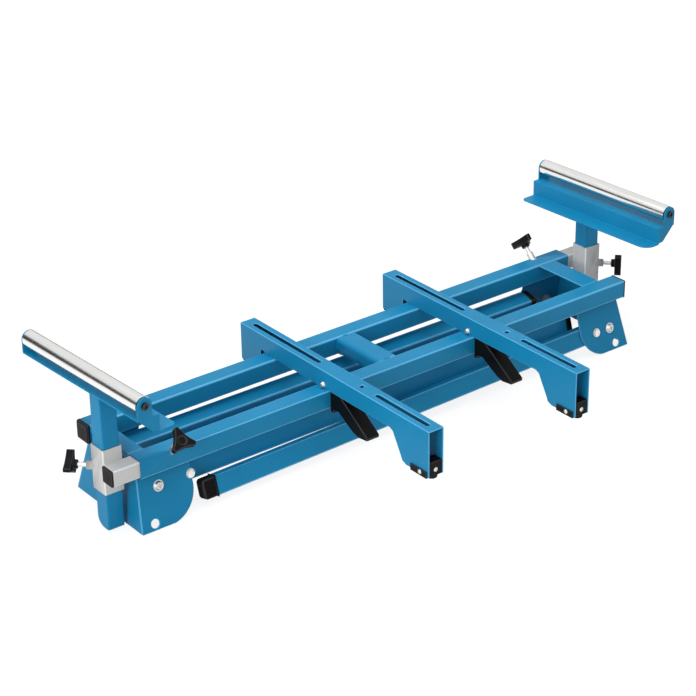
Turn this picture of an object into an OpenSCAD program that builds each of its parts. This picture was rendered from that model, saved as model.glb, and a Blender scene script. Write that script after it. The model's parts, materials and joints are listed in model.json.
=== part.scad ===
// Folding mitre saw stand, folded up, with roller supports and clamp-on machine arms.
// Lengths are in mm and angles in degrees. Inside place() x runs along the rails, y to the back,
// and z is counted from the rail tops.
// The left end is the end with the short cross plate. The right end's extension is its twin,
// turned half round about the middle.

/* [Overall] */
// height of the rail tops over the floor, folded
rail_top = 135; // [135:1:160]

/* [Rails] */
// length of each main rail
rail_len = 1100; // [1040:10:1300]
// width and height of the square rail tube
rail_w = 35; // [33:1:40]
// wall of the rail tube
rail_wall = 2; // [1.5:0.1:2.5]
// distance between the rails' centre lines
rail_pitch = 157; // [150:1:175]
// diameter of the carry handle between the rails
handle_d = 38; // [30:1:40]

/* [End brackets] */
// sheet thickness of the brackets
plate_t = 2.5; // [2:0.1:3]
// lean of the side flanges from upright
flank_lean = 16.2; // [12:0.1:18]
// lean of the end plates from upright
end_lean = 6.6; // [4:0.1:8]
// radius of the flange's round lower corner
flank_round = 59; // [45:1:62]
// diameter of the holes that lock the open legs
lock_hole_d = 16; // [14:0.5:17]

/* [Legs] */
// height of the left legs' tube, in the plane that they swing in
left_leg_h = 40; // [36:1:40]
// thickness of the left legs' tube
left_leg_t = 33; // [30:1:34]
// height of the right legs' tube, in the plane that they swing in
right_leg_h = 36; // [34:1:37]
// thickness of the right legs' tube
right_leg_t = 22; // [20:1:25]
// how much shorter than the rails the front right leg is, from pivot to tip
leg_short = 154; // [145:1:200]
// wall of the leg tube
leg_wall = 1.5; // [1.2:0.1:2]
// angle of an open left leg, from along the rails
left_open = 108; // [100:0.5:108]
// angle of an open right leg, from along the rails
right_open = 108.8; // [100:0.1:109]
// diameter of the leg pivot bolts
pivot_d = 10; // [8:1:12]
// diameter of the lock buttons
button_d = 13; // [11:0.5:13.5]

/* [Extensions] */
// clear length from an extension tube's inner end to the far end of its rail, slid in
ext_room = 150; // [120:10:450]
// wall of the extension tube and of the sleeve
ext_wall = 2; // [1.5:0.1:2.5]
// width of the square post that carries a roller
post_w = 32; // [28:1:34]
// height of the sleeve that holds the post
sleeve_h = 83; // [70:1:100]

/* [Rollers] */
// diameter of the roller
roller_d = 30; // [26:1:34]
// length of the roller
roller_len = 322; // [260:2:360]
// height of the roller's axis over the rail tops, lowest setting
roller_axis = 145; // [140:1:165]
// turn of each roller bracket on its post
roller_turn = 3; // [0:0.5:4]
// width of the lip that flares from the roller bracket
lip_w = 33; // [25:1:50]

/* [Machine arms] */
// width of the arm channel
arm_w = 32; // [30:1:40]
// height of the arm channel over the rails
arm_h = 34; // [32:1:45]
// sheet thickness of the arms
arm_t = 2; // [1.5:0.1:2.5]
// reach of the arms in front of the middle
arm_front = 366.5; // [340:1:400]
// reach of the arms behind the middle
arm_rear = 167.7; // [160:1:180]
// place of the left arm's middle along the rails
left_arm_x = -146.7; // [-250:0.1:-120]
// place of the right arm's middle along the rails
right_arm_x = 183.5; // [120:0.1:250]
// width of the slots that take the machine's bolts
slot_w = 9; // [6:0.5:10]

/* [Knobs] */
// diameter of the clamping studs
stud_d = 8; // [6:1:9]
// reach of a knob's three lobes from its middle
knob_r = 24; // [20:1:26]

/* [Hidden] */
$fn = 48;
slide_gap = 0.5;      // clear space round a tube that slides in another
part_gap = 0.3;       // clear space between pieces that pass each other
run_gap = 0.1;        // radial clearance of a shaft in its hole
skin = 0.01;          // how far a tube's bore runs past its ends
over = 1;             // how far a cut runs past the face that it opens

blue = [0.10, 0.40, 0.62];
grey = [0.68, 0.68, 0.67];
zinc = [0.80, 0.80, 0.78];
chrome = [0.88, 0.88, 0.88];
black = [0.06, 0.06, 0.06];

// rails
rail_y = rail_pitch / 2;
rail_in = rail_y - rail_w / 2;
rail_out = rail_y + rail_w / 2;
rail_end = rail_len / 2;
rail_mid_z = -rail_w / 2;
rail_hole = rail_w - 2 * rail_wall;

// the leaning flange's outer face starts here, under the rail
flank_in = 21;
flank_y = rail_out - flank_in;
flank_z = -rail_w;
flank_len = (rail_top - rail_w) / cos(flank_lean) + over;
end_in = 2.5;
end_x = rail_end - end_in;
end_drop = rail_top - rail_w;
end_foot = end_x + end_drop * tan(end_lean);
foot_y = flank_y + end_drop * tan(flank_lean);
flange_w = 105;
flange_in = rail_end - flange_w;

// leg pivots, in the flange's plane: x along the rail, y up the slope, z outward
left_pivot_in = 38.5;
left_pivot_x = rail_end - left_pivot_in;
left_pivot_y = -31;
left_button_r = 64.2;
right_pivot_in = 31;
right_pivot_x = rail_end - right_pivot_in;
right_pivot_y = -59;
right_button_r = 34.5;
leg_root = 22;
right_leg = rail_len - leg_short;
rear_left_tilt = -0.4;
front_right_tilt = -0.7;

// each pair of legs lies in layers: at the front the right leg is outside, at the rear the left leg
leg_play = 0.8;
outer_depth = plate_t + slide_gap;
front_left_depth = outer_depth + right_leg_t + leg_play;
rear_right_depth = outer_depth + left_leg_t + leg_play;

// lengths that stand the open legs on one floor, which the front right leg sets
function mid_z(depth, y, t) = flank_z + y * cos(flank_lean) - (depth + t / 2) * sin(flank_lean);
stand_z = -mid_z(outer_depth, right_pivot_y, right_leg_t) + right_leg * sin(right_open) * cos(flank_lean);
function reach_down(depth, y, t, open) = (stand_z + mid_z(depth, y, t)) / (sin(open) * cos(flank_lean));
front_left_len = reach_down(front_left_depth, left_pivot_y, left_leg_t, left_open);
rear_left_len = reach_down(outer_depth, left_pivot_y, left_leg_t, left_open);
rear_right_len = reach_down(rear_right_depth, right_pivot_y, right_leg_t, right_open);
left_foot_len = 15;
right_foot_len = 27;

// leg bolts
bolt_nut_t = 6;

// buttons
button_r = button_d / 2;
button_out = 5.5;
lock_play = 1.2;
ring_t = 1.5;
ring_w = 2;
guide_back = 4;

// extensions
ext_w = rail_hole - 2 * slide_gap;
sleeve_in = post_w + 2 * slide_gap;
sleeve_w = sleeve_in + 2 * ext_wall;
sleeve_out = 32.2;
sleeve_x = rail_end + sleeve_out;
sleeve_y = rail_y - ext_w / 2 - sleeve_w / 2;
sleeve_top = 22;
ext_end = sleeve_x + sleeve_w / 2;
ext_len = ext_end + rail_end - ext_room;
boss_d = 15;
boss_len = 9;
boss_z = -18.5;
corner = sqrt(2) / 2;
boss_flat = (corner - 1 / 2) * sleeve_w;

// rollers
bracket_t = 2.5;
tray_drop = 7.5;
tray_z = roller_axis - roller_d / 2 - tray_drop;
post_top = tray_z - bracket_t;
post_up = 5;
post_foot = post_up - rail_top;
post_round = 18;
axis_out = 40;
axis_x = rail_end + axis_out;
axis_y = 7.5;
ear_less = 1;
ear_w = roller_d - ear_less;
ear_gap = 1.5;
ear_x = roller_len / 2 + ear_gap;
wall_gap = 1.2;
wall_u = axis_x - sleeve_x + post_w / 2 + wall_gap + bracket_t;
wall_drop = 30;
wall_z = tray_z - wall_drop;
axle_d = 8;
cap_len = 9;
tube_t = 1.5;
axle_head_d = 13;
axle_head_t = 3.5;
reach_back = axis_y + (ear_x + bracket_t + axle_head_t) * cos(roller_turn)
    + axle_head_d / 2 * sin(roller_turn);

// arms
arm_in = arm_w - 2 * arm_t;
arm_low = -53;
arm_foot_z = -59;
hook_deep = 11;
hook_y = rail_out + hook_deep;
hook_z = -38;
foot_reach = 103;
notch_y = arm_front - foot_reach;
nut_box = 8;
bolt_d = 6;
bolt_out = 1.5;
bolt_y = rail_y + bolt_out;
bolt_z = 6.2;
lever_w = arm_in - 2 * slide_gap;
lever_len = 103;
shoe_back = 46;
shoe_sole = 2;

// slots in the arm's top, as distances from its front end and from its back end
front_slot = [18.5, 158.5];
rear_slot = [219.7, 20.7];
nut_box_y = 193.5;

// rail knobs and rail plugs
knob_t = 13;
knob_far = 31;
neck_t = 7;
rail_knob_in = 64;
rail_knob_x = rail_end - rail_knob_in;
nut_d = 14;
nut_far = 11;
left_plug_t = 7;
right_plug_t = 2;

// the model stands on z = 0 with its middle over the origin
base_y = (arm_front - reach_back) / 2;

// Frames that the pieces are drawn in

module place() {
    translate([0, base_y, rail_top]) children();
}

// the half turn that makes the right end's extension out of the left one's
module twin(right) {
    rotate([0, 0, right ? 180 : 0]) children();
}

// the plane of a leaning flange: x along the rail, y up the slope, z outward from its outer face
module flank(rear) {
    mirror([0, rear ? 1 : 0, 0])
        translate([0, -flank_y, flank_z])
            rotate([90 - flank_lean, 0, 0])
                children();
}

// a leg's own frame: its pivot at the origin, its length along x, its outer face at z = 0
module left_leg_frame(rear) {
    flank(rear)
        translate([-left_pivot_x, left_pivot_y, -(rear ? outer_depth : front_left_depth)])
            rotate([0, 0, rear ? rear_left_tilt : 0])
                children();
}

module right_leg_frame(rear) {
    flank(rear)
        translate([right_pivot_x, right_pivot_y, -(rear ? rear_right_depth : outer_depth)])
            mirror([1, 0, 0])
                rotate([0, 0, rear ? 0 : front_right_tilt])
                    children();
}

// an axis that leans 45 degrees out of the front rail's outer top edge, with the edge at z = 0
module rail_knob_frame(right) {
    twin(right)
        translate([-rail_knob_x, -rail_out, 0])
            rotate([45, 0, 0])
                children();
}

// an axis that runs level out of the sleeve's outer corner, with the post's middle at z = 0
module post_knob_frame(right) {
    twin(right)
        translate([-sleeve_x, -sleeve_y, boss_z])
            rotate([0, 0, 135])
                rotate([0, 90, 0])
                    children();
}

// the left roller's frame: x towards the machine, y along the roller, z up from its axis
module roller_frame(right) {
    twin(right)
        translate([-axis_x, -axis_y, roller_axis])
            rotate([0, 0, roller_turn])
                children();
}

// Rails

// square tube along x, centred on y and z
module tube_x(len, w, wall) {
    difference() {
        translate([0, -w / 2, -w / 2]) cube([len, w, w]);
        translate([-skin, wall - w / 2, wall - w / 2]) cube([len + 2 * skin, w - 2 * wall, w - 2 * wall]);
    }
}

module main_rail(right) {
    color(blue) place() difference() {
        twin(right) translate([-rail_end, -rail_y, rail_mid_z]) tube_x(rail_len, rail_w, rail_wall);
        rail_knob_frame(right)
            translate([0, 0, -3 * rail_wall]) cylinder(h = 6 * rail_wall, r = stud_d / 2 + run_gap);
    }
}

module front_rail() {
    main_rail(false);
}

module rear_rail() {
    main_rail(true);
}

// blind plugs in the rail ends that no extension uses
module rail_plugs() {
    color(black) place() {
        rail_plug(false, left_plug_t);
        rail_plug(true, right_plug_t);
    }
}

// a plug whose face stands out by t, with its rim cut at 45 degrees
module rail_plug(right, t) {
    plug_in = 18;
    rim = t / 3;
    twin(right) translate([-rail_end, rail_y, rail_mid_z]) {
        difference() {
            translate([-t, -rail_w / 2, -rail_w / 2]) cube([t, rail_w, rail_w]);
            for (turn = [0 : 90 : 270])
                rotate([turn, 0, 0]) translate([-t, -rail_w, rail_w / 2 - rim])
                    rotate([0, -45, 0]) cube([2 * rim, 2 * rail_w, 2 * rim]);
        }
        tube_x(plug_in, rail_hole, rail_wall);
    }
}

// nuts welded on the outer top edge of each rail
module rail_lock_nuts() {
    color(zinc) place() for (right = [false, true]) difference() {
        rail_knob_frame(right) translate([0, 0, -nut_d / 2]) cylinder(h = nut_far + nut_d / 2, d = nut_d);
        rail_knob_frame(right) translate([0, 0, -nut_d]) cylinder(h = 3 * nut_d, r = stud_d / 2 + run_gap);
        twin(right) translate([-rail_end, -rail_out, -rail_w]) cube([rail_len, rail_w, rail_w]);
    }
}

// tube welded between the rails, just under the arms' way
module carry_handle() {
    handle_x = -6.5;
    handle_wall = 2;
    under = 0.5;
    color(blue) place() translate([handle_x, 0, -under - handle_d / 2]) rotate([90, 0, 0]) difference() {
        cylinder(h = 2 * rail_in, d = handle_d, center = true);
        cylinder(h = 2 * rail_in + over, d = handle_d - 2 * handle_wall, center = true);
    }
}

// End brackets

// one leaning side flange with its round lower corner and holes, for the left end
module side_flange(pivot_x, pivot_y, reach, open) {
    hole_r = button_r + run_gap;
    difference() {
        translate([0, 0, -plate_t]) linear_extrude(plate_t) difference() {
            polygon([[-end_x, 0], [-end_foot, -flank_len], [-flange_in, -flank_len], [-flange_in, 0]]);
            difference() {
                translate([-flange_in - flank_round, -flank_len - over])
                    square([flank_round + over, flank_round + over]);
                translate([-flange_in - flank_round, flank_round - flank_len]) circle(flank_round, $fn = 2 * $fn);
            }
        }
        translate([-pivot_x, pivot_y, -2 * plate_t]) {
            cylinder(h = 3 * plate_t, r = pivot_d / 2 + run_gap);
            translate([reach, 0, 0]) cylinder(h = 3 * plate_t, r = hole_r);
            rotate([0, 0, -open]) translate([reach, 0, 0]) cylinder(h = 3 * plate_t, d = lock_hole_d);
        }
    }
}

// leans out at the bottom, with its ends against the flanges
module end_plate() {
    inset = plate_t / cos(flank_lean);
    long = end_drop / cos(end_lean) + over;
    translate([-end_x, 0, flank_z]) rotate([0, end_lean, 0]) rotate([90, 0, 90])
        linear_extrude(plate_t)
            polygon([[inset - flank_y, 0], [flank_y - inset, 0],
                [foot_y - inset, -long], [inset - foot_y, -long]]);
}

// sheet between the rails, flush with their tops, starting this far in from the left end
module cross_plate(start, wide) {
    lip = 12;
    translate([start - rail_end, -rail_in, 0]) {
        translate([0, 0, -plate_t]) cube([wide, 2 * rail_in, plate_t]);
        translate([0, 0, -lip]) cube([plate_t, 2 * rail_in, lip]);
    }
}

// both flanges and the end plate, cut level where they stand on the floor
module end_bracket(pivot_x, pivot_y, reach, open) {
    difference() {
        union() {
            for (rear = [false, true]) flank(rear) side_flange(pivot_x, pivot_y, reach, open);
            end_plate();
        }
        translate([-rail_len, -rail_len, -2 * rail_top]) cube([2 * rail_len, 2 * rail_len, rail_top]);
    }
}

module left_bracket() {
    color(blue) place() end_bracket(left_pivot_x, left_pivot_y, left_button_r, left_open);
}

module right_bracket() {
    color(blue) place() mirror([1, 0, 0])
        end_bracket(right_pivot_x, right_pivot_y, right_button_r, right_open);
}

module left_cross_plate() {
    wide = 28;
    color(blue) place() cross_plate(0, wide);
}

module right_cross_plate() {
    start = 37;
    wide = 41;
    color(blue) place() mirror([1, 0, 0]) cross_plate(start, wide);
}

// Leg bolts, spacers and button guides, which stay on the brackets

// a cross-recessed bolt with washer and nut, along z from outside the flange
module leg_bolt(far) {
    head_d = 1.7 * pivot_d;
    head_t = 4;
    washer_d = 2 * pivot_d;
    washer_t = 1.5;
    cross_w = 2;
    cross_len = 8;
    difference() {
        union() {
            cylinder(h = washer_t, d = washer_d);
            translate([0, 0, washer_t]) cylinder(h = head_t, d1 = head_d, d2 = 0.7 * head_d);
        }
        for (turn = [0, 90])
            rotate([0, 0, turn])
                translate([-cross_len / 2, -cross_w / 2, washer_t + head_t - cross_w])
                    cube([cross_len, cross_w, 2 * cross_w]);
    }
    translate([0, 0, -far]) cylinder(h = far, d = pivot_d);
    translate([0, 0, -far]) cylinder(h = bolt_nut_t, d = 1.7 * pivot_d, $fn = 6);
}

module leg_pivot_bolts() {
    past = part_gap + bolt_nut_t;
    color(zinc) place() for (rear = [false, true]) flank(rear) {
        translate([-left_pivot_x, left_pivot_y, 0])
            leg_bolt((rear ? outer_depth : front_left_depth) + left_leg_t + past);
        translate([right_pivot_x, right_pivot_y, 0])
            leg_bolt((rear ? rear_right_depth : outer_depth) + right_leg_t + past);
    }
}

// bush on a pivot bolt, from the flange to a leg that lies this deep
module leg_spacer(depth) {
    long = depth - part_gap - plate_t;
    translate([0, 0, -plate_t - long]) difference() {
        cylinder(h = long, d = 1.9 * pivot_d);
        translate([0, 0, -over]) cylinder(h = long + 2 * over, r = pivot_d / 2 + run_gap);
    }
}

// the bushes that hold the inner legs inboard of the outer ones
module leg_spacers() {
    color(zinc) place() {
        flank(false) translate([-left_pivot_x, left_pivot_y, 0]) leg_spacer(front_left_depth);
        flank(true) translate([right_pivot_x, right_pivot_y, 0]) leg_spacer(rear_right_depth);
    }
}

// ring on the flange's face, with a tube inside it where the leg lies deep
module button_guide(depth) {
    inside = depth > outer_depth ? depth - plate_t - guide_back : 0;
    difference() {
        union() {
            cylinder(h = ring_t, d = button_d + 2 * ring_w);
            if (inside > 0)
                translate([0, 0, -plate_t - inside]) cylinder(h = inside, d = button_d + 2 * ring_w);
        }
        translate([0, 0, -plate_t - inside - over])
            cylinder(h = inside + plate_t + ring_t + 2 * over, r = button_r + run_gap);
    }
}

module button_guides() {
    color(zinc) place() for (rear = [false, true]) flank(rear) {
        translate([left_button_r - left_pivot_x, left_pivot_y, 0])
            button_guide(rear ? outer_depth : front_left_depth);
        translate([right_pivot_x - right_button_r, right_pivot_y, 0])
            button_guide(rear ? rear_right_depth : outer_depth);
    }
}

// sprung button with a domed cap, stopping just short of the leg
module lock_button(depth) {
    dome = 1.2;
    dome_in = 2.5;
    color(chrome) {
        translate([0, 0, part_gap - depth])
            cylinder(h = depth + button_out - dome - part_gap, r = button_r);
        translate([0, 0, button_out - dome]) cylinder(h = dome, r1 = button_r, r2 = button_r - dome_in);
    }
}

module left_button(rear) {
    place() flank(rear) translate([left_button_r - left_pivot_x, left_pivot_y, 0])
        lock_button(rear ? outer_depth : front_left_depth);
}

module right_button(rear) {
    place() flank(rear) translate([right_pivot_x - right_button_r, right_pivot_y, 0])
        lock_button(rear ? rear_right_depth : outer_depth);
}

module front_left_button() {
    left_button(false);
}

module rear_left_button() {
    left_button(true);
}

module front_right_button() {
    right_button(false);
}

module rear_right_button() {
    right_button(true);
}

// Legs

// tube of a leg, for a left or a right one, with the hole of its lock button
module leg_tube(len, right) {
    h = right ? right_leg_h : left_leg_h;
    t = right ? right_leg_t : left_leg_t;
    reach = right ? right_button_r : left_button_r;
    long = leg_root + len - (right ? right_foot_len : left_foot_len);
    color(blue) difference() {
        translate([-leg_root, -h / 2, -t]) cube([long, h, t]);
        translate([-leg_root - over, leg_wall - h / 2, leg_wall - t])
            cube([long + 2 * over, h - 2 * leg_wall, t - 2 * leg_wall]);
        translate([0, 0, -t - over]) cylinder(h = t + 2 * over, r = pivot_d / 2 + run_gap);
        translate([reach, 0, -2 * leg_wall]) cylinder(h = 3 * leg_wall, r = button_r + lock_play);
    }
}

// rubber foot with a round end and a stem inside the tube
module leg_foot(len, right) {
    h = right ? right_leg_h : left_leg_h;
    t = right ? right_leg_t : left_leg_t;
    foot_len = right ? right_foot_len : left_foot_len;
    stem = 30;
    nose = 7;
    color(black) {
        translate([len - foot_len, -h / 2, -t]) cube([foot_len - nose, h, t]);
        translate([len - nose, nose - h / 2, -t]) cube([nose, h - 2 * nose, t]);
        for (side = [-1, 1])
            translate([len - nose, side * (h / 2 - nose), -t]) cylinder(h = t, r = nose);
        translate([len - foot_len - stem, leg_wall - h / 2, leg_wall - t])
            cube([stem, h - 2 * leg_wall, t - 2 * leg_wall]);
    }
}

module front_left_leg() {
    place() left_leg_frame(false) leg_tube(front_left_len, false);
}

module front_left_foot() {
    place() left_leg_frame(false) leg_foot(front_left_len, false);
}

module rear_left_leg() {
    place() left_leg_frame(true) leg_tube(rear_left_len, false);
}

module rear_left_foot() {
    place() left_leg_frame(true) leg_foot(rear_left_len, false);
}

module front_right_leg() {
    place() right_leg_frame(false) leg_tube(right_leg, true);
}

module front_right_foot() {
    place() right_leg_frame(false) leg_foot(right_leg, true);
}

module rear_right_leg() {
    place() right_leg_frame(true) leg_tube(rear_right_len, true);
}

module rear_right_foot() {
    place() right_leg_frame(true) leg_foot(rear_right_len, true);
}

// Extensions

module extension_tube(right) {
    color(grey) place() twin(right) translate([-ext_end, -rail_y, rail_mid_z])
        tube_x(ext_len, ext_w, ext_wall);
}

// cap on the tube's end, with a hollow stem inside the tube
module tube_plug(right) {
    deep = 14;
    face_t = 4;
    edge = 0.5;
    face = ext_w - 2 * edge;
    color(black) place() twin(right) translate([-ext_end, -rail_y, rail_mid_z]) {
        translate([-face_t, -face / 2, -face / 2]) cube([face_t, face, face]);
        tube_x(deep, ext_w - 2 * ext_wall, ext_wall);
    }
}

// upright square sleeve with the boss for its clamping stud on the outer corner
module sleeve(right) {
    color(grey) place() difference() {
        union() {
            twin(right) translate([-sleeve_x, -sleeve_y, sleeve_top - sleeve_h])
                translate([-sleeve_w / 2, -sleeve_w / 2, 0]) cube([sleeve_w, sleeve_w, sleeve_h]);
            post_knob_frame(right)
                translate([0, 0, sleeve_w / 2]) cylinder(h = boss_flat + boss_len, d = boss_d);
        }
        twin(right) translate([-sleeve_x, -sleeve_y, sleeve_top - sleeve_h - over])
            translate([-sleeve_in / 2, -sleeve_in / 2, 0]) cube([sleeve_in, sleeve_in, sleeve_h + 2 * over]);
        post_knob_frame(right) cylinder(h = sleeve_w + boss_len, r = stud_d / 2 + run_gap);
    }
}

module left_extension_tube() {
    extension_tube(false);
}

module right_extension_tube() {
    extension_tube(true);
}

module left_tube_plug() {
    tube_plug(false);
}

module right_tube_plug() {
    tube_plug(true);
}

module left_sleeve() {
    sleeve(false);
}

module right_sleeve() {
    sleeve(true);
}

// Posts and rollers

module post(right) {
    long = post_top - post_foot;
    color(blue) place() twin(right) translate([-sleeve_x, -sleeve_y, post_foot]) difference() {
        translate([-post_w / 2, -post_w / 2, 0]) cube([post_w, post_w, long]);
        translate([ext_wall - post_w / 2, ext_wall - post_w / 2, -over])
            cube([post_w - 2 * ext_wall, post_w - 2 * ext_wall, long - ext_wall + over]);
        difference() {
            translate([-post_w, post_w / 2 - post_round, -over])
                cube([2 * post_w, post_round + over, post_round + over]);
            translate([-post_w - over, post_w / 2 - post_round, post_round])
                rotate([0, 90, 0]) cylinder(h = 2 * post_w + 2 * over, r = post_round);
        }
    }
}

// end plate of the roller bracket, seen along the roller: an ear above and a gusset below
module bracket_end() {
    rotate([90, 0, 0]) linear_extrude(bracket_t) difference() {
        union() {
            circle(d = ear_w);
            translate([-ear_w / 2, tray_z - roller_axis]) square([ear_w, roller_axis - tray_z]);
            polygon([[-ear_w / 2, tray_z - roller_axis], [ear_w / 2, wall_z - roller_axis + over],
                [wall_u, wall_z - roller_axis], [wall_u, tray_z - roller_axis]]);
        }
        circle(d = axle_d + 2 * run_gap);
    }
}

// folded sheet under the roller: tray, wall towards the machine, and flared lip
module roller_bracket(right) {
    half = ear_x + bracket_t;
    low = wall_z - roller_axis;
    tray = tray_z - roller_axis;
    near_r = 10;
    far_r = 22;
    color(blue) place() roller_frame(right) {
        translate([-ear_w / 2, -half, tray - bracket_t]) cube([ear_w / 2 + wall_u, 2 * half, bracket_t]);
        translate([wall_u - bracket_t, -half, low]) cube([bracket_t, 2 * half, tray - low]);
        translate([wall_u - bracket_t, 0, low - bracket_t]) linear_extrude(bracket_t) {
            translate([0, near_r - half]) square([lip_w + bracket_t, 2 * half - near_r - far_r]);
            translate([0, -half]) square([lip_w + bracket_t - near_r, near_r]);
            translate([0, half - far_r]) square([lip_w + bracket_t - far_r, far_r]);
            translate([lip_w + bracket_t - near_r, near_r - half]) circle(near_r);
            translate([lip_w + bracket_t - far_r, half - far_r]) circle(far_r);
        }
        translate([0, -ear_x, 0]) bracket_end();
        translate([0, half, 0]) bracket_end();
    }
}

module roller_axle(right) {
    half = ear_x + bracket_t;
    color(zinc) place() roller_frame(right) rotate([90, 0, 0]) difference() {
        union() {
            cylinder(h = 2 * half, d = axle_d, center = true);
            for (side = [-1, 1])
                translate([0, 0, side * (half + axle_head_t / 2)])
                    cylinder(h = axle_head_t, d = axle_head_d, center = true);
        }
        for (side = [-1, 1])
            translate([0, 0, side * (half + axle_head_t)])
                cylinder(h = axle_head_t, d = axle_head_d / 2, center = true);
    }
}

module roller_tube(right) {
    color(chrome) place() roller_frame(right) rotate([90, 0, 0]) difference() {
        cylinder(h = roller_len, d = roller_d, center = true, $fn = 72);
        cylinder(h = roller_len + over, d = roller_d - 2 * tube_t, center = true, $fn = 72);
    }
}

module roller_caps(right) {
    color(black) place() roller_frame(right) rotate([90, 0, 0]) for (side = [-1, 1]) difference() {
        translate([0, 0, side * (roller_len - cap_len) / 2])
            cylinder(h = cap_len, d = roller_d - 2 * tube_t, center = true, $fn = 72);
        cylinder(h = roller_len + over, r = axle_d / 2 + run_gap / 2, center = true);
    }
}

module left_post() {
    post(false);
}

module right_post() {
    post(true);
}

module left_roller_bracket() {
    roller_bracket(false);
}

module right_roller_bracket() {
    roller_bracket(true);
}

module left_roller_axle() {
    roller_axle(false);
}

module right_roller_axle() {
    roller_axle(true);
}

module left_roller_tube() {
    roller_tube(false);
}

module right_roller_tube() {
    roller_tube(true);
}

module left_roller_caps() {
    roller_caps(false);
}

module right_roller_caps() {
    roller_caps(true);
}

// Knobs

// three-lobed knob on a short neck, growing along z, with hollow sides between the lobes
module lobed_knob(far) {
    neck_d = 16;
    side_r = 60;
    waist = 12;
    dish_r = 7.5;
    dish = 1.5;
    color(black) translate([0, 0, far]) difference() {
        union() {
            cylinder(h = neck_t + over, d = neck_d);
            translate([0, 0, neck_t]) cylinder(h = knob_t, r = knob_r);
        }
        for (turn = [30, 150, 270])
            rotate([0, 0, turn]) translate([waist + side_r, 0, neck_t - over])
                cylinder(h = knob_t + 2 * over, r = side_r, $fn = 3 * $fn);
        translate([0, 0, neck_t + knob_t - dish]) cylinder(h = 2 * dish, r = dish_r);
        translate([0, 0, -over]) cylinder(h = neck_t + over, d = stud_d);
    }
}

module rail_knob(right) {
    place() rail_knob_frame(right) lobed_knob(knob_far - neck_t);
}

module rail_stud(right) {
    tip = part_gap - (rail_wall + slide_gap) * sqrt(2);
    color(zinc) place() rail_knob_frame(right) translate([0, 0, tip])
        cylinder(h = knob_far - over - tip, d = stud_d);
}

module post_knob(right) {
    place() post_knob_frame(right) lobed_knob(sleeve_w * corner + knob_far - neck_t);
}

module post_stud(right) {
    tip = post_w * corner + part_gap;
    color(zinc) place() post_knob_frame(right) translate([0, 0, tip])
        cylinder(h = sleeve_w * corner + knob_far - over - tip, d = stud_d);
}

module left_rail_knob() {
    rail_knob(false);
}

module right_rail_knob() {
    rail_knob(true);
}

module left_rail_stud() {
    rail_stud(false);
}

module right_rail_stud() {
    rail_stud(true);
}

module left_post_knob() {
    post_knob(false);
}

module right_post_knob() {
    post_knob(true);
}

module left_post_stud() {
    post_stud(false);
}

module right_post_stud() {
    post_stud(true);
}

// Machine arms

// one side wall of the channel, seen from the left: y runs back, z up
module arm_side() {
    lift = 3;
    lap = 1;
    drop = -arm_low;
    notch_shares = [[0.15, 0.06], [0.55, 0.77], [0.62, 0.92], [0.81, 1]];
    notch = [for (p = notch_shares) [-notch_y - p[0] * drop, -p[1] * drop]];
    rotate([90, 0, 90]) linear_extrude(arm_t) difference() {
        polygon(concat([[-arm_front, arm_low], [-arm_front, arm_h], [arm_rear, arm_h], [arm_rear, hook_z],
            [hook_y, hook_z], [hook_y, lift], [rail_out - lap, lift], [rail_out - lap, part_gap],
            [-notch_y, part_gap]], notch));
        translate([-bolt_y, bolt_z]) circle(d = bolt_d + 2 * run_gap);
    }
}

module arm(mid) {
    color(blue) place() translate([mid, 0, 0]) {
        translate([-arm_w / 2, 0, 0]) arm_side();
        translate([arm_w / 2 - arm_t, 0, 0]) arm_side();
        translate([-arm_w / 2, arm_rear - arm_t, hook_z]) cube([arm_w, arm_t, arm_h - hook_z]);
        difference() {
            translate([-arm_w / 2, -arm_front, arm_h - arm_t]) cube([arm_w, arm_front + arm_rear, arm_t]);
            translate([0, 0, arm_h - 2 * arm_t]) linear_extrude(3 * arm_t) {
                bolt_slot(front_slot[0] - arm_front, front_slot[1] - arm_front);
                bolt_slot(arm_rear - rear_slot[0], arm_rear - rear_slot[1]);
                translate([-nut_box / 2, nut_box_y - arm_front]) square([nut_box, nut_box]);
            }
        }
    }
}

// a slot with round ends along y
module bolt_slot(y0, y1) {
    translate([-slot_w / 2, y0 + slot_w / 2]) square([slot_w, y1 - y0 - slot_w]);
    translate([0, y0 + slot_w / 2]) circle(d = slot_w);
    translate([0, y1 - slot_w / 2]) circle(d = slot_w);
}

// moulded shoe that closes the front end's foot
module arm_shoe(mid) {
    tab_t = 2.5;
    tab_up = 11;
    inset = 1;
    tab_inset = 4;
    block = [arm_in, 20, 27];
    low_t = 10;
    color(black) place() translate([mid, -arm_front, arm_low]) {
        translate([-arm_in / 2, inset, 0]) cube(block);
        translate([-arm_in / 2, inset, 0]) cube([arm_in, shoe_back - inset, low_t]);
        for (side = [-1, 1])
            translate([side * (arm_w + tab_t) / 2 - tab_t / 2, tab_inset, -shoe_sole])
                cube([tab_t, shoe_back - tab_inset, tab_up + shoe_sole]);
        translate([-arm_w / 2 - tab_t, tab_inset, -shoe_sole])
            cube([arm_w + 2 * tab_t, shoe_back - tab_inset, shoe_sole]);
    }
}

// rubber foot below the shoe, hook pad behind the rear rail and small foot at the back
module arm_pads(mid) {
    pad_d = 20;
    pad_y = 12;
    hook_pad = [arm_in, 14, 40];
    hook_pad_up = 2;
    back_pad = [0.9 * arm_w, 12, 4];
    color(black) place() translate([mid, 0, 0]) {
        translate([0, pad_y - arm_front, arm_foot_z])
            cylinder(h = arm_low - shoe_sole - arm_foot_z, d = pad_d);
        translate([-arm_in / 2, rail_out + part_gap, hook_z + hook_pad_up]) cube(hook_pad);
        translate([-back_pad[0] / 2, arm_rear - back_pad[1], hook_z - back_pad[2]]) cube(back_pad);
    }
}

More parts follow.
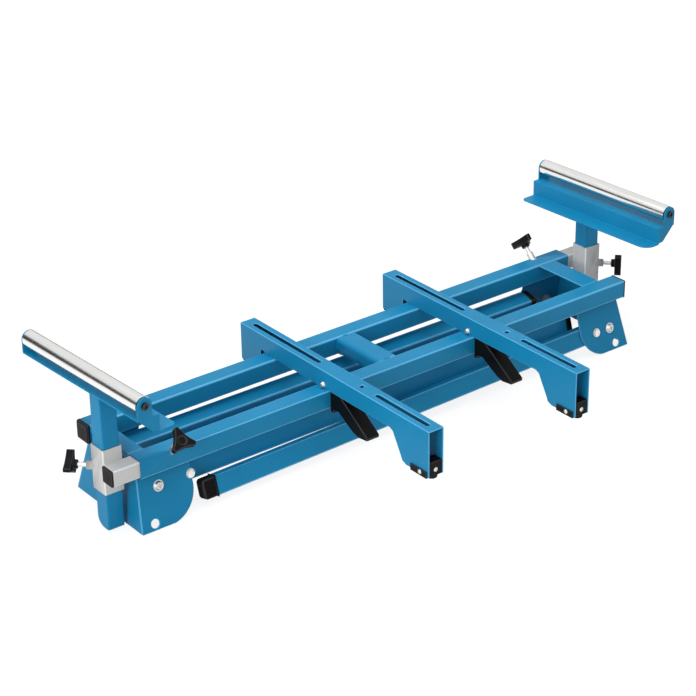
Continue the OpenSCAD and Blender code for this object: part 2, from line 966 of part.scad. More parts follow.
// cross bolt that the clamp lever turns on, with its domed head to the left
module arm_bolts(mid) {
    head_d = 11.5;
    head_t = 4.5;
    nut_t = 4;
    color(zinc) place() translate([mid, -bolt_y, bolt_z]) rotate([0, 90, 0]) {
        translate([0, 0, -arm_w / 2]) cylinder(h = arm_w, d = bolt_d);
        translate([0, 0, -arm_w / 2 - head_t]) cylinder(h = head_t, d1 = 0.65 * head_d, d2 = head_d);
        translate([0, 0, arm_w / 2]) cylinder(h = nut_t, d = 0.9 * head_d);
    }
}

// moulded lever that turns on the cross bolt and bears on the rail's front face
module clamp_lever(mid) {
    face = rail_out + part_gap;
    under = 0.5;
    hub_r = bolt_z - under;
    hub = [for (a = [90 : 22.5 : 270]) [bolt_y + hub_r * cos(a), bolt_z + hub_r * sin(a)]];
    grip_shares = [[0, -0.403], [0.078, -0.403], [0.078, -0.35], [0.214, -0.32], [0.398, -0.427],
        [0.592, -0.534], [0.748, -0.583], [0.874, -0.568], [0.99, -0.553], [1, -0.515],
        [0.985, -0.485], [0.233, 0.019], [0.136, 0.117]];
    grip = [for (p = grip_shares) [face + p[0] * lever_len, p[1] * lever_len]];
    color(black) place() translate([mid + lever_w / 2, 0, 0]) rotate([90, 0, -90])
        linear_extrude(lever_w) difference() {
            polygon(concat(hub, [[face, under]], grip));
            translate([bolt_y, bolt_z]) circle(d = bolt_d + 2 * run_gap);
        }
}

module left_arm() {
    arm(left_arm_x);
}

module right_arm() {
    arm(right_arm_x);
}

module left_arm_shoe() {
    arm_shoe(left_arm_x);
}

module right_arm_shoe() {
    arm_shoe(right_arm_x);
}

module left_arm_pads() {
    arm_pads(left_arm_x);
}

module right_arm_pads() {
    arm_pads(right_arm_x);
}

module left_arm_bolts() {
    arm_bolts(left_arm_x);
}

module right_arm_bolts() {
    arm_bolts(right_arm_x);
}

module left_clamp_lever() {
    clamp_lever(left_arm_x);
}

module right_clamp_lever() {
    clamp_lever(right_arm_x);
}

front_rail();
rear_rail();
left_bracket();
right_bracket();
left_cross_plate();
right_cross_plate();
carry_handle();
rail_plugs();
rail_lock_nuts();
leg_pivot_bolts();
leg_spacers();
button_guides();
left_extension_tube();
left_sleeve();
left_tube_plug();
right_extension_tube();
right_sleeve();
right_tube_plug();
left_post();
left_roller_bracket();
left_roller_axle();
right_post();
right_roller_bracket();
right_roller_axle();
left_roller_tube();
left_roller_caps();
right_roller_tube();
right_roller_caps();
left_rail_knob();
left_rail_stud();
right_rail_knob();
right_rail_stud();
left_post_knob();
left_post_stud();
right_post_knob();
right_post_stud();
front_left_leg();
front_left_foot();
rear_left_leg();
rear_left_foot();
front_right_leg();
front_right_foot();
rear_right_leg();
rear_right_foot();
front_left_button();
rear_left_button();
front_right_button();
rear_right_button();
left_arm();
left_arm_shoe();
left_arm_pads();
left_arm_bolts();
left_clamp_lever();
right_arm();
right_arm_shoe();
right_arm_pads();
right_arm_bolts();
right_clamp_lever();
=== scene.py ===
"""Looks of the folding saw stand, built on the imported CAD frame. Lengths are in metres."""

import json
import math

import bmesh
import bpy
from mathutils import Matrix, Vector


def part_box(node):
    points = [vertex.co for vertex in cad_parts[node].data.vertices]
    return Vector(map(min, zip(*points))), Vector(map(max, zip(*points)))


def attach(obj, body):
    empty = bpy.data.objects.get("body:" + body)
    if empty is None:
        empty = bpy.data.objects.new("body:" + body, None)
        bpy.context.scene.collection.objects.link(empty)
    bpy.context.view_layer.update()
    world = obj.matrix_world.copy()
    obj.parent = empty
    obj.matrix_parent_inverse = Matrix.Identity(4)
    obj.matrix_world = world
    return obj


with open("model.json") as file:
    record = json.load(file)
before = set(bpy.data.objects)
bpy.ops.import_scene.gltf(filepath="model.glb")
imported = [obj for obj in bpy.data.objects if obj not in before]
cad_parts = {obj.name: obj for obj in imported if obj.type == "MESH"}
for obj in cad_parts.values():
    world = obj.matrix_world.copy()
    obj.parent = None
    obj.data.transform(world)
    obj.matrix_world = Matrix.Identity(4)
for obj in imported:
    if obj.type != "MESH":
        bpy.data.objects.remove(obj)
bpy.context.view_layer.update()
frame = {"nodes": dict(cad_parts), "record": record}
nodes = frame["nodes"]

ENDS = ("left", "right")
SIDES = ("front", "rear")
CORNERS = ("front_left", "rear_left", "front_right", "rear_right")

# Camera, solved from the straight edges of the photograph
CAM_PLACE = (-2.10227, -2.59204, 1.84424)
CAM_YAW = math.radians(37.4251)
CAM_PITCH = math.radians(26.6729)
CAM_ROLL = math.radians(-0.9088)
CAM_CLIP = (0.1, 50)
FOCAL_PX = 2112.60
IMAGE_PX = 696
SENSOR_MM = 36


def make_camera():
    cy, sy = math.cos(CAM_YAW), math.sin(CAM_YAW)
    cp, sp = math.cos(CAM_PITCH), math.sin(CAM_PITCH)
    cr, sr = math.cos(CAM_ROLL), math.sin(CAM_ROLL)
    ahead = Vector((cp * sy, cp * cy, -sp))
    right = Vector((cy, -sy, 0))
    up = right.cross(ahead)
    right, up = cr * right + sr * up, -sr * right + cr * up
    data = bpy.data.cameras.new("camera")
    data.sensor_width = SENSOR_MM
    data.lens = FOCAL_PX / IMAGE_PX * SENSOR_MM
    data.clip_start, data.clip_end = CAM_CLIP
    cam = bpy.data.objects.new("camera", data)
    turn = Matrix((right, up, -ahead)).transposed()
    cam.matrix_world = Matrix.Translation(CAM_PLACE) @ turn.to_4x4()
    bpy.context.scene.collection.objects.link(cam)
    bpy.context.scene.camera = cam


make_camera()
bpy.context.scene.view_settings.view_transform = "Standard"


# Node helpers

# Sockets of a Mix node that mixes colours
MIX_FACTOR = 0
MIX_A = 6
MIX_B = 7
MIX_RESULT = 2


class Graph:
    """A node tree with short calls."""

    def __init__(self, tree):
        self.tree = tree
        tree.nodes.clear()

    def add(self, kind, **props):
        node = self.tree.nodes.new(kind)
        for key, value in props.items():
            setattr(node, key, value)
        return node

    def link(self, a, out, b, inp):
        self.tree.links.new(a.outputs[out], b.inputs[inp])


def bare_material(name):
    """A material that holds an output node and nothing else yet."""
    mat = bpy.data.materials.new(name)
    mat.use_nodes = True
    g = Graph(mat.node_tree)
    return mat, g, g.add("ShaderNodeOutputMaterial")


def new_material(name):
    mat, g, out = bare_material(name)
    bsdf = g.add("ShaderNodeBsdfPrincipled")
    g.link(bsdf, "BSDF", out, "Surface")
    return mat, g, bsdf


def noise(g, coords, scale, detail, rough=0.5, stretch=None):
    node = g.add("ShaderNodeTexNoise")
    node.inputs["Scale"].default_value = scale
    node.inputs["Detail"].default_value = detail
    node.inputs["Roughness"].default_value = rough
    if stretch:
        mapping = g.add("ShaderNodeMapping")
        mapping.inputs["Scale"].default_value = stretch
        g.link(coords, "Object", mapping, "Vector")
        g.link(mapping, "Vector", node, "Vector")
    else:
        g.link(coords, "Object", node, "Vector")
    return node


def grey(v):
    return (v, v, v)


def ramp(g, source, low, high, start=0.3, end=0.7):
    """Turns a noise into greys from low to high, over its range from start to end."""
    node = g.add("ShaderNodeValToRGB")
    stops = ((start, low), (end, high))
    for element, (place, value) in zip(node.color_ramp.elements, stops):
        element.position = place
        element.color = (*grey(value), 1)
    g.link(source, "Fac", node, "Fac")
    return node


def colour(g, bsdf, base, *shades):
    """Colours the surface with base, multiplied by each of the grey ramps in turn."""
    last = None
    for shade in shades:
        node = g.add("ShaderNodeMix", data_type="RGBA", blend_type="MULTIPLY")
        node.inputs[MIX_FACTOR].default_value = 1.0
        if last:
            g.link(last, MIX_RESULT, node, MIX_A)
        else:
            node.inputs[MIX_A].default_value = (*base, 1)
        g.link(shade, "Color", node, MIX_B)
        last = node
    g.link(last, MIX_RESULT, bsdf, "Base Color")


def roughen(g, bsdf, source, low, high):
    """Spreads the surface's roughness from low to high by a noise."""
    spread = ramp(g, source, low, high)
    g.link(spread, "Color", bsdf, "Roughness")


def bump(g, bsdf, height, strength, distance, chain=None):
    """Raises the surface by a noise, on top of an earlier bump where one is given."""
    node = g.add("ShaderNodeBump")
    node.inputs["Strength"].default_value = strength
    node.inputs["Distance"].default_value = distance
    g.link(height, "Fac", node, "Height")
    if chain:
        g.link(chain, "Normal", node, "Normal")
    g.link(node, "Normal", bsdf, "Normal")
    return node


# Materials


def powder_coat(name, base, spec):
    """Baked paint: fine orange peel, faint clouds in colour and gloss."""
    mat, g, bsdf = new_material(name)
    coords = g.add("ShaderNodeTexCoord")
    cloud = noise(g, coords, scale=9, detail=3)
    shade = ramp(g, cloud, low=0.94, high=1.05)
    speck = noise(g, coords, scale=420, detail=2)
    grain = ramp(g, speck, low=0.965, high=1.03, start=0.35, end=0.65)
    colour(g, bsdf, base, shade, grain)
    gloss = noise(g, coords, scale=14, detail=2)
    roughen(g, bsdf, gloss, low=0.36, high=0.47)
    bsdf.inputs["Specular IOR Level"].default_value = spec
    peel = noise(g, coords, scale=900, detail=1)
    fine = bump(g, bsdf, peel, strength=0.10, distance=0.0004)
    wave = noise(g, coords, scale=60, detail=1)
    bump(g, bsdf, wave, strength=0.05, distance=0.001, chain=fine)
    return mat


def bare_metal(name, base, low, high, scale, stretch, tint=0.86, strength=0.08):
    """Plated or polished steel with drawn streaks; low and high are its roughness."""
    mat, g, bsdf = new_material(name)
    coords = g.add("ShaderNodeTexCoord")
    streak = noise(g, coords, scale, detail=4, rough=0.6, stretch=stretch)
    shade = ramp(g, streak, low=tint, high=1.0)
    colour(g, bsdf, base, shade)
    roughen(g, bsdf, streak, low, high)
    bsdf.inputs["Metallic"].default_value = 1.0
    bump(g, bsdf, streak, strength, distance=0.0003)
    return mat


def moulded(name, base, low, high, scale, strength):
    """Moulded plastic or rubber with a fine texture; low and high are its roughness."""
    mat, g, bsdf = new_material(name)
    coords = g.add("ShaderNodeTexCoord")
    cloud = noise(g, coords, scale=25, detail=3)
    shade = ramp(g, cloud, low=0.8, high=1.25)
    colour(g, bsdf, base, shade)
    roughen(g, bsdf, cloud, low, high)
    bsdf.inputs["Specular IOR Level"].default_value = 0.09
    grain = noise(g, coords, scale, detail=2)
    bump(g, bsdf, grain, strength, distance=0.0004)
    return mat


def drawn_steel(name, base, low, high):
    return bare_metal(name, base, low, high, scale=60, stretch=(1, 1, 8))


def plastic(name, base, low, high):
    return moulded(name, base, low, high, scale=500, strength=0.15)


def rubber(name, base):
    return moulded(name, base, low=0.6, high=0.8, scale=300, strength=0.3)


BLUE = powder_coat("blue_paint", (0.006, 0.202, 0.392), spec=0.16)
# A lighter blue for the bevelled edges: a painted highlight along them.
BLUE_EDGE_HIGHLIGHT = powder_coat("blue_paint_on_edges", (0.10, 0.40, 0.66), spec=0.14)
GREY = powder_coat("grey_paint", (0.55, 0.55, 0.54), spec=0.3)
# A lighter grey for the bevelled edges: a painted highlight along them.
GREY_EDGE_HIGHLIGHT = powder_coat("grey_paint_on_edges", (0.72, 0.72, 0.71), spec=0.3)
ZINC = drawn_steel("zinc", (0.66, 0.66, 0.64), low=0.34, high=0.5)
DARK_STEEL = drawn_steel("dark_steel", (0.05, 0.05, 0.055), low=0.25, high=0.45)
CHROME = bare_metal(
    "chrome",
    (0.76, 0.76, 0.75),
    low=0.17,
    high=0.23,
    scale=12,
    stretch=(12, 1, 12),
    tint=0.95,
    strength=0.001,
)
PLASTIC = plastic("plastic", (0.0035, 0.0035, 0.004), low=0.38, high=0.55)
# A lighter black for the bevelled edges of plastic parts: a painted highlight along them.
PLASTIC_EDGE_HIGHLIGHT = plastic("plastic_on_edges", grey(0.034), low=0.34, high=0.5)
RUBBER = rubber("rubber", grey(0.0035))
# A lighter black for the bevelled edges of rubber parts: a painted highlight along them.
RUBBER_EDGE_HIGHLIGHT = rubber("rubber_on_edges", grey(0.03))

SLOT_MATERIALS = {
    "blue_powder_coat": BLUE,
    "grey_paint": GREY,
    "zinc_steel": ZINC,
    "dark_steel": DARK_STEEL,
    "chrome": CHROME,
    "black_plastic": PLASTIC,
    "black_rubber": RUBBER,
}

# Each material's lighter copy, put on the bevel faces as a painted highlight along the edges.
EDGE_HIGHLIGHTS = {BLUE: BLUE_EDGE_HIGHLIGHT, GREY: GREY_EDGE_HIGHLIGHT, PLASTIC: PLASTIC_EDGE_HIGHLIGHT, RUBBER: RUBBER_EDGE_HIGHLIGHT}


def paint(obj, mat):
    obj.data.materials.clear()
    obj.data.materials.append(mat)


def smooth(obj):
    for face in obj.data.polygons:
        face.use_smooth = True


# CAD nodes: materials, and edges rounded by modifiers, most of them with a painted highlight

WELD_REACH = 0.00002
FLAT_ANGLE = math.radians(1)
BEVEL_ANGLE = math.radians(35)
BEVEL_SEGMENTS = 2

# A tube's edge is rounded where it is longer than this and turns outward by more than this, in radians
LONG_EDGE = 0.06
OUTER_TURN = 0.6

# Ends of the names of nodes whose rounded edges get no painted highlight and keep the colour of their faces
EDGES_WITHOUT_HIGHLIGHT = ("_post", "_roller_bracket")

# Kinds of node, where they stand, and how wide their edges are rounded; on tubes only the long ones
TUBE_EDGES = (
    ("rail", SIDES, 0.003),
    ("leg", CORNERS, 0.003),
    ("post", ENDS, 0.0025),
    ("sleeve", ENDS, 0.002),
    ("extension_tube", ENDS, 0.0025),
)
OTHER_EDGES = (
    ("bracket", ENDS, 0.0009),
    ("roller_bracket", ENDS, 0.0009),
    ("arm", ENDS, 0.0009),
    ("clamp_lever", ENDS, 0.0015),
    ("arm_shoe", ENDS, 0.001),
    ("cross_plate", ENDS, 0.0008),
    ("rail_knob", ENDS, 0.0012),
    ("post_knob", ENDS, 0.0012),
    ("tube_plug", ENDS, 0.0015),
    ("arm_pads", ENDS, 0.001),
    ("foot", CORNERS, 0.003),
)
RAIL_PLUG_EDGE = 0.002


def more_than(g, source, out, least):
    node = g.add("FunctionNodeCompare", data_type="FLOAT", operation="GREATER_THAN")
    g.link(source, out, node, "A")
    node.inputs["B"].default_value = least
    return node


def long_edges():
    """A node group that marks the long outer edges, for the bevel to round."""
    tree = bpy.data.node_groups.new("long_edges", "GeometryNodeTree")
    tree.interface.new_socket("Geometry", in_out="INPUT", socket_type="NodeSocketGeometry")
    tree.interface.new_socket("Geometry", in_out="OUTPUT", socket_type="NodeSocketGeometry")
    g = Graph(tree)
    start = g.add("NodeGroupInput")
    end = g.add("NodeGroupOutput")
    ends = g.add("GeometryNodeInputMeshEdgeVertices")
    reach = g.add("ShaderNodeVectorMath", operation="DISTANCE")
    g.link(ends, "Position 1", reach, 0)
    g.link(ends, "Position 2", reach, 1)
    is_long = more_than(g, reach, "Value", LONG_EDGE)
    turn = g.add("GeometryNodeInputMeshEdgeAngle")
    is_outer = more_than(g, turn, "Signed Angle", OUTER_TURN)
    both = g.add("FunctionNodeBooleanMath", operation="AND")
    g.link(is_long, "Result", both, 0)
    g.link(is_outer, "Result", both, 1)
    store = g.add("GeometryNodeStoreNamedAttribute", data_type="FLOAT", domain="EDGE")
    store.inputs["Name"].default_value = "bevel_weight_edge"
    store.inputs["Value"].default_value = 1.0
    g.link(start, "Geometry", store, "Geometry")
    g.link(both, "Boolean", store, "Selection")
    g.link(store, "Geometry", end, "Geometry")
    return tree


LONG_EDGES = long_edges()


def round_edges(obj, width, only_long):
    """Welds the imported faces, joins flat ones and bevels what is left; the bevel's faces mostly take a
    lighter material, a painted highlight along the edges.
    """
    weld = obj.modifiers.new("weld", "WELD")
    weld.merge_threshold = WELD_REACH
    flat = obj.modifiers.new("flat", "DECIMATE")
    flat.decimate_type = "DISSOLVE"
    flat.angle_limit = FLAT_ANGLE
    if only_long:
        marks = obj.modifiers.new("marks", "NODES")
        marks.node_group = LONG_EDGES
    bev = obj.modifiers.new("round", "BEVEL")
    bev.width = width
    bev.segments = BEVEL_SEGMENTS
    bev.limit_method = "WEIGHT" if only_long else "ANGLE"
    bev.angle_limit = BEVEL_ANGLE
    bev.use_clamp_overlap = False
    bev.loop_slide = False
    # The bevel's faces get the lighter copy of the material, a painted highlight, except on the nodes
    # listed as plain.
    edge = EDGE_HIGHLIGHTS.get(obj.data.materials[0])
    if edge and not obj.name.endswith(EDGES_WITHOUT_HIGHLIGHT):
        obj.data.materials.append(edge)
        bev.material = 1
    normals = obj.modifiers.new("normals", "WEIGHTED_NORMAL")
    normals.keep_sharp = False
    smooth(obj)


for row in frame["record"]["subparts"]:
    node = nodes[row["node"]]
    paint(node, SLOT_MATERIALS[row["material_slot"]])

for table, only_long in ((TUBE_EDGES, True), (OTHER_EDGES, False)):
    for kind, places, width in table:
        for place in places:
            round_edges(nodes[f"{place}_{kind}"], width, only_long)

round_edges(nodes["rail_plugs"], RAIL_PLUG_EDGE, False)


# Pieces that the solids leave out: the plate over the handle, weld beads and screws

# Beads: step between rings in radii, sides of a ring, and two ripples as height and turn for each step
BEAD_STEP = 0.55
BEAD_SIDES = 8
RIPPLE = (0.16, 2.1)
SLOW_RIPPLE = (0.05, 0.7)

# A direction that no bead runs along, from which a ring takes its sides
RING_REFERENCE = Vector((0.31, 0.17, 0.93))

HANDLE_BEAD = 0.0016
HANDLE_BEAD_INSET = 0.0006
HANDLE_BEAD_STEPS = 40
CROSS_BEAD = 0.0013
CROSS_BEAD_INSET = 0.0004
CROSS_BEAD_MARGIN = 0.002
CROSS_BEAD_DROP = 0.003
POST_BEAD = 0.0014
POST_BEAD_DROP = 0.0005
SLEEVE_BEAD = 0.0012
SLEEVE_BEAD_START = 0.002
SLEEVE_BEAD_END = 0.033

# Screw heads: rings as distance from the axis in radii and height in rises; the flat top carries the recess
SCREW_PROFILE = (
    (1.35, 0.0),
    (1.38, 0.06),
    (1.33, 0.12),
    (1.02, 0.13),
    (1.0, 0.30),
    (0.93, 0.62),
    (0.80, 0.84),
    (0.66, 0.94),
    (0.56, 0.98),
    (0.46, 1.0),
    (0.36, 1.0),
    (0.27, 1.0),
    (0.20, 1.0),
    (0.13, 1.0),
    (0.07, 1.0),
)
SCREW_SIDES = 48
SCREW_RISE = 0.55
RECESS_DEPTH = 0.55
RECESS_REACH = 0.62
RECESS_HALF_WIDTH = 0.11

SIDE_SCREW = 0.0032
SIDE_SCREW_BACK = 0.020
SIDE_SCREW_UP = 0.0075
FRONT_SCREW = 0.003
FRONT_SCREW_HIGHER = 0.006

# The plate over the carry handle
PLATE_THICK = 0.002
PLATE_UNDER_RAILS = 0.0003
PLATE_RIGHT_OF_MIDDLE = 0.0205
PLATE_ROLL = 0.0092
PLATE_ROLL_STEPS = 12
PLATE_SIDE = 0.019
PLATE_END_GAP = 0.0002
PLATE_EDGE = 0.0006
PLATE_BEAD = 0.0012
PLATE_BEAD_INSET = 0.0008
PLATE_BEAD_DROP = 0.001
PLATE_BEAD_MARGIN = 0.002


def finish_piece(obj, body, slot, mat=None):
    """Paints the piece, in its slot's material unless mat is given, and lets it ride on its body."""
    paint(obj, mat or SLOT_MATERIALS[slot])
    bpy.context.scene.collection.objects.link(obj)
    smooth(obj)
    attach(obj, body)


def mesh_object(name, bm):
    mesh = bpy.data.meshes.new(name)
    bm.to_mesh(mesh)
    bm.free()
    return bpy.data.objects.new(name, mesh)


def join_rings(bm, low, high):
    """A band of faces between two rings of as many points."""
    count = len(low)
    for k in range(count):
        j = (k + 1) % count
        bm.faces.new((low[k], low[j], high[j], high[k]))


def front_and_rear(low, high, inset):
    """The y of a box's front and rear faces, moved inward by inset."""
    return zip(SIDES, (low[1] + inset, high[1] - inset))


def spread_points(path, step, closed):
    """Points along path, about a step apart; a closed path also runs back to its start."""
    corners = path + path[:1] if closed else path
    points = []
    for a, b in zip(corners, corners[1:]):
        a, b = Vector(a), Vector(b)
        count = max(2, round((b - a).length / step))
        points += [a.lerp(b, i / count) for i in range(count)]
    if not closed:
        points.append(Vector(corners[-1]))
    return points


def bead_swell(i):
    """How thick a bead is at its ring i, as a share of its radius."""
    height, turn = RIPPLE
    slow_height, slow_turn = SLOW_RIPPLE
    return 1 + height * math.sin(i * turn) + slow_height * math.sin(i * slow_turn)


def bead(name, body, slot, path, radius, closed=False, mat=None):
    """A weld bead: a half-sunk round string along path, with the ripples of the weld."""
    points = spread_points(path, radius * BEAD_STEP, closed)
    total = len(points)
    bm = bmesh.new()
    rings = []
    for i, place in enumerate(points):
        before = points[i - 1] if i or closed else points[0]
        after = points[(i + 1) % total] if i < total - 1 or closed else points[-1]
        ahead = (after - before).normalized()
        side = ahead.cross(RING_REFERENCE).normalized()
        up = side.cross(ahead)
        swell = radius * bead_swell(i)
        ring = []
        for k in range(BEAD_SIDES):
            turn = k * 2 * math.pi / BEAD_SIDES
            ring.append(bm.verts.new(place + swell * (math.cos(turn) * side + math.sin(turn) * up)))
        rings.append(ring)
    for low, high in zip(rings, rings[1:]):
        join_rings(bm, low, high)
    if closed:
        join_rings(bm, rings[-1], rings[0])
    else:
        bm.faces.new(list(reversed(rings[0])))
        bm.faces.new(rings[-1])
    bmesh.ops.recalc_face_normals(bm, faces=bm.faces)
    finish_piece(mesh_object(name, bm), body, slot, mat)


def recess(x, y):
    """How deep the cross recess is at a point of the head, in rises of the head."""
    reach, across = max(abs(x), abs(y)), min(abs(x), abs(y))
    if reach < RECESS_REACH and across < RECESS_HALF_WIDTH:
        return RECESS_DEPTH * (1 - (reach / RECESS_REACH) ** 2)
    return 0.0


def screw(name, body, place, axis, radius):
    """A pan-head screw on a washer, with a cross recess pressed into its head."""
    rise = radius * SCREW_RISE
    bm = bmesh.new()
    rings = []
    for out, up in SCREW_PROFILE:
        ring = []
        for k in range(SCREW_SIDES):
            turn = k * 2 * math.pi / SCREW_SIDES
            x, y = out * math.cos(turn), out * math.sin(turn)
            ring.append(bm.verts.new((x * radius, y * radius, (up - recess(x, y)) * rise)))
        rings.append(ring)
    for low, high in zip(rings, rings[1:]):
        join_rings(bm, low, high)
    bm.faces.new(rings[-1])
    obj = mesh_object(name, bm)
    obj.rotation_mode = "QUATERNION"
    obj.rotation_quaternion = Vector(axis).to_track_quat("Z", "Y")
    obj.location = place
    finish_piece(obj, body, "zinc_steel")


def plate_section(left, right, top):
    """The plate's section across y, as its outer points and the inner points that go with them."""
    hub_x, hub_z = left + PLATE_ROLL, top - PLATE_ROLL
    inside = PLATE_ROLL - PLATE_THICK
    outer = [(right, top)]
    inner = [(right, top - PLATE_THICK)]
    for i in range(PLATE_ROLL_STEPS + 1):
        turn = i * math.pi / 2 / PLATE_ROLL_STEPS
        across, rise = math.sin(turn), math.cos(turn)
        outer.append((hub_x - PLATE_ROLL * across, hub_z + PLATE_ROLL * rise))
        inner.append((hub_x - inside * across, hub_z + inside * rise))
    outer.append((left, top - PLATE_SIDE))
    inner.append((left + PLATE_THICK, top - PLATE_SIDE))
    return outer, inner


def add_handle_plate():
    """The sheet over the carry handle: flat on top, rolled down its left side, flush with the rails."""
    low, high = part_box("carry_handle")
    left = low[0]
    right = (low[0] + high[0]) / 2 + PLATE_RIGHT_OF_MIDDLE
    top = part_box("front_rail")[1][2] - PLATE_UNDER_RAILS
    outer, inner = plate_section(left, right, top)
    outline = outer + inner[::-1]
    bm = bmesh.new()
    ends = []
    for _, y in front_and_rear(low, high, PLATE_END_GAP):
        ends.append([bm.verts.new((x, y, z)) for x, z in outline])
    join_rings(bm, *ends)
    total = len(outline)
    for ring in ends:
        for i in range(len(outer) - 1):
            bm.faces.new((ring[i], ring[i + 1], ring[total - 2 - i], ring[total - 1 - i]))
    bmesh.ops.recalc_face_normals(bm, faces=bm.faces)
    obj = mesh_object("handle_plate", bm)
    finish_piece(obj, "frame", "blue_powder_coat")
    round_edges(obj, PLATE_EDGE, False)
    z = top - PLATE_BEAD_DROP
    for side, y in front_and_rear(low, high, PLATE_BEAD_INSET):
        path = [(left + PLATE_ROLL, y, z), (right - PLATE_BEAD_MARGIN, y, z)]
        name = "handle_plate_bead_" + side
        # The plate's beads take the lighter edge blue: a painted highlight.
        bead(name, "frame", "blue_powder_coat", path, PLATE_BEAD, mat=BLUE_EDGE_HIGHLIGHT)


def add_handle_beads():
    """A bead round each end of the carry handle."""
    low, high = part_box("carry_handle")
    x, z = (low[0] + high[0]) / 2, (low[2] + high[2]) / 2
    radius = (high[2] - low[2]) / 2
    turns = [i * 2 * math.pi / HANDLE_BEAD_STEPS for i in range(HANDLE_BEAD_STEPS)]
    for side, y in front_and_rear(low, high, HANDLE_BEAD_INSET):
        path = [(x + radius * math.cos(t), y, z + radius * math.sin(t)) for t in turns]
        bead("handle_bead_" + side, "frame", "blue_powder_coat", path, HANDLE_BEAD, closed=True)


def add_cross_beads(end):
    """A bead along the top of each end of a cross plate."""
    low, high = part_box(end + "_cross_plate")
    left, right = low[0] + CROSS_BEAD_MARGIN, high[0] - CROSS_BEAD_MARGIN
    z = high[2] - CROSS_BEAD_DROP
    for side, y in front_and_rear(low, high, CROSS_BEAD_INSET):
        path = [(left, y, z), (right, y, z)]
        bead(f"{end}_cross_bead_{side}", "frame", "blue_powder_coat", path, CROSS_BEAD)


def add_post_bead(end):
    """A bead round the top of a post."""
    low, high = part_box(end + "_post")
    z = high[2] - POST_BEAD_DROP
    front, rear = low[1], high[1]
    path = [(low[0], front, z), (high[0], front, z), (high[0], rear, z), (low[0], rear, z)]
    bead(end + "_post_bead", end + "_post", "blue_powder_coat", path, POST_BEAD, closed=True)


def add_sleeve_beads(end):
    """Beads over and under the outer end of an extension tube, on its side towards the other rail."""
    low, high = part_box(end + "_extension_tube")
    if end == "left":
        y, tip, inward = high[1], low[0], 1
    else:
        y, tip, inward = low[1], high[0], -1
    near = tip + inward * SLEEVE_BEAD_START
    far = tip + inward * SLEEVE_BEAD_END
    for level, z in (("top", high[2]), ("under", low[2])):
        path = [(near, y, z), (far, y, z)]
        bead(f"{end}_sleeve_bead_{level}", end + "_extension", "grey_paint", path, SLEEVE_BEAD)


def add_shoe_screws(end):
    """A screw in each side of an arm's shoe, and one in its front."""
    body = end + "_arm"
    low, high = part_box(end + "_arm_shoe")
    y, z = low[1] + SIDE_SCREW_BACK, low[2] + SIDE_SCREW_UP
    middle = (low[0] + high[0]) / 2
    screw(end + "_shoe_screw_a", body, (low[0], y, z), (-1, 0, 0), SIDE_SCREW)
    screw(end + "_shoe_screw_b", body, (high[0], y, z), (1, 0, 0), SIDE_SCREW)
    front_place = (middle, low[1], z + FRONT_SCREW_HIGHER)
    screw(end + "_shoe_screw_c", body, front_place, (0, -1, 0), FRONT_SCREW)


add_handle_plate()
add_handle_beads()
for end in ENDS:
    add_cross_beads(end)
for end in ENDS:
    add_post_bead(end)
    add_sleeve_beads(end)
for end in ENDS:
    add_shoe_screws(end)


# Floor, world and lamps

FLOOR_HALF = 30
FLOOR_DROP = 0.0005
FLOOR_GREY = 0.62
FLOOR_MIRRORED_GLOW = 0.5
FLOOR_SEEN_GREY = 0.92
FLOOR_SEEN_GLOW = 0.36
FLOOR_SEEN_SHARE = 0.22
WORLD_LIGHT = 0.75
WORLD_SEEN = 1.0
CARD_GREY = 0.03
LAMP_AIM = (0, 0, 0.08)


def dull(g, value):
    """A diffuse surface of one grey."""
    node = g.add("ShaderNodeBsdfDiffuse")
    node.inputs["Color"].default_value = (*grey(value), 1)
    return node


def glowing(g, surface, strength):
    """A surface with an even white glow added."""
    glow = g.add("ShaderNodeEmission")
    glow.inputs["Strength"].default_value = strength
    total = g.add("ShaderNodeAddShader")
    g.link(surface, 0, total, 0)
    g.link(glow, 0, total, 1)
    return total


def mixed(g, first, second):
    """The first shader at a factor of nought, the second at a factor of one."""
    node = g.add("ShaderNodeMixShader")
    g.link(first, 0, node, 1)
    g.link(second, 0, node, 2)
    return node


def stage_face(name, corners, place, mat):
    """One flat face of the studio."""
    mesh = bpy.data.meshes.new(name)
    mesh.from_pydata(corners, [], [(0, 1, 2, 3)])
    mesh.materials.append(mat)
    obj = bpy.data.objects.new(name, mesh)
    obj.location = place
    bpy.context.scene.collection.objects.link(obj)
    return obj


def make_floor():
    """A pale floor; the eye sees through part of it, so a leg that swings down past it still shows."""
    mat, g, out = bare_material("floor")
    lit = dull(g, FLOOR_GREY)
    mirrored = glowing(g, lit, FLOOR_MIRRORED_GLOW)
    lifted = glowing(g, dull(g, FLOOR_SEEN_GREY), FLOOR_SEEN_GLOW)
    clear = g.add("ShaderNodeBsdfTransparent")
    shown = mixed(g, clear, lifted)
    shown.inputs["Fac"].default_value = FLOOR_SEEN_SHARE
    path = g.add("ShaderNodeLightPath")
    in_mirror = mixed(g, lit, mirrored)
    g.link(path, "Is Glossy Ray", in_mirror, "Fac")
    pick = mixed(g, in_mirror, shown)
    g.link(path, "Is Camera Ray", pick, "Fac")
    g.link(pick, "Shader", out, "Surface")
    s = FLOOR_HALF
    corners = [(-s, -s, 0), (s, -s, 0), (s, s, 0), (-s, s, 0)]
    floor = stage_face("floor", corners, (0, 0, -FLOOR_DROP), mat)


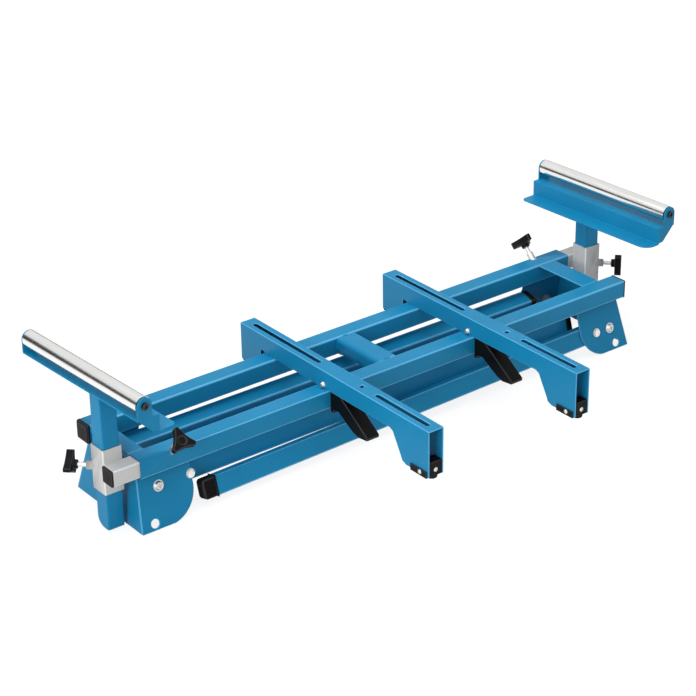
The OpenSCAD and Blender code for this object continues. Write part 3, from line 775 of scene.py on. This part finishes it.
def make_world():
    """An even pale light, and plain white where it is seen directly, mirrored or through a surface."""
    world = bpy.data.worlds.new("world")
    bpy.context.scene.world = world
    world.use_nodes = True
    g = Graph(world.node_tree)
    out = g.add("ShaderNodeOutputWorld")
    lit = g.add("ShaderNodeBackground")
    lit.inputs["Strength"].default_value = WORLD_LIGHT
    shown = g.add("ShaderNodeBackground")
    shown.inputs["Color"].default_value = (*grey(1), 1)
    shown.inputs["Strength"].default_value = WORLD_SEEN
    path = g.add("ShaderNodeLightPath")
    seen = g.add("ShaderNodeMath", operation="MAXIMUM")
    g.link(path, "Is Camera Ray", seen, 0)
    g.link(path, "Is Glossy Ray", seen, 1)
    also = g.add("ShaderNodeMath", operation="MAXIMUM")
    g.link(seen, "Value", also, 0)
    g.link(path, "Is Transmission Ray", also, 1)
    pick = mixed(g, lit, shown)
    g.link(also, "Value", pick, "Fac")
    g.link(pick, "Shader", out, "Surface")


def dark_card(name, place, wide, tall):
    """An upright card behind the object that only mirrors see, as a studio's black flag."""
    mat, g, out = bare_material(name)
    g.link(dull(g, CARD_GREY), "BSDF", out, "Surface")
    w, t = wide / 2, tall / 2
    corners = [(-w, 0, -t), (w, 0, -t), (w, 0, t), (-w, 0, t)]
    card = stage_face(name, corners, place, mat)
    card.visible_camera = False
    card.visible_diffuse = False
    card.visible_shadow = False


def make_lamp(name, place, size, power):
    data = bpy.data.lights.new(name, "AREA")
    data.size = size
    data.energy = power
    lamp = bpy.data.objects.new(name, data)
    lamp.location = place
    look = Vector(LAMP_AIM) - Vector(place)
    lamp.rotation_mode = "QUATERNION"
    lamp.rotation_quaternion = look.to_track_quat("-Z", "Y")
    bpy.context.scene.collection.objects.link(lamp)


make_floor()
make_world()
dark_card("flag_behind", (0, 2.0, 0.40), wide=8, tall=0.40)
dark_card("flag_left", (-2.2, 2.0, 1.0), wide=1.9, tall=0.80)
make_lamp("top", (-0.4, 0.2, 2.6), size=2.2, power=48)
make_lamp("left", (-4.6, -2.0, 2.0), size=2.4, power=122)
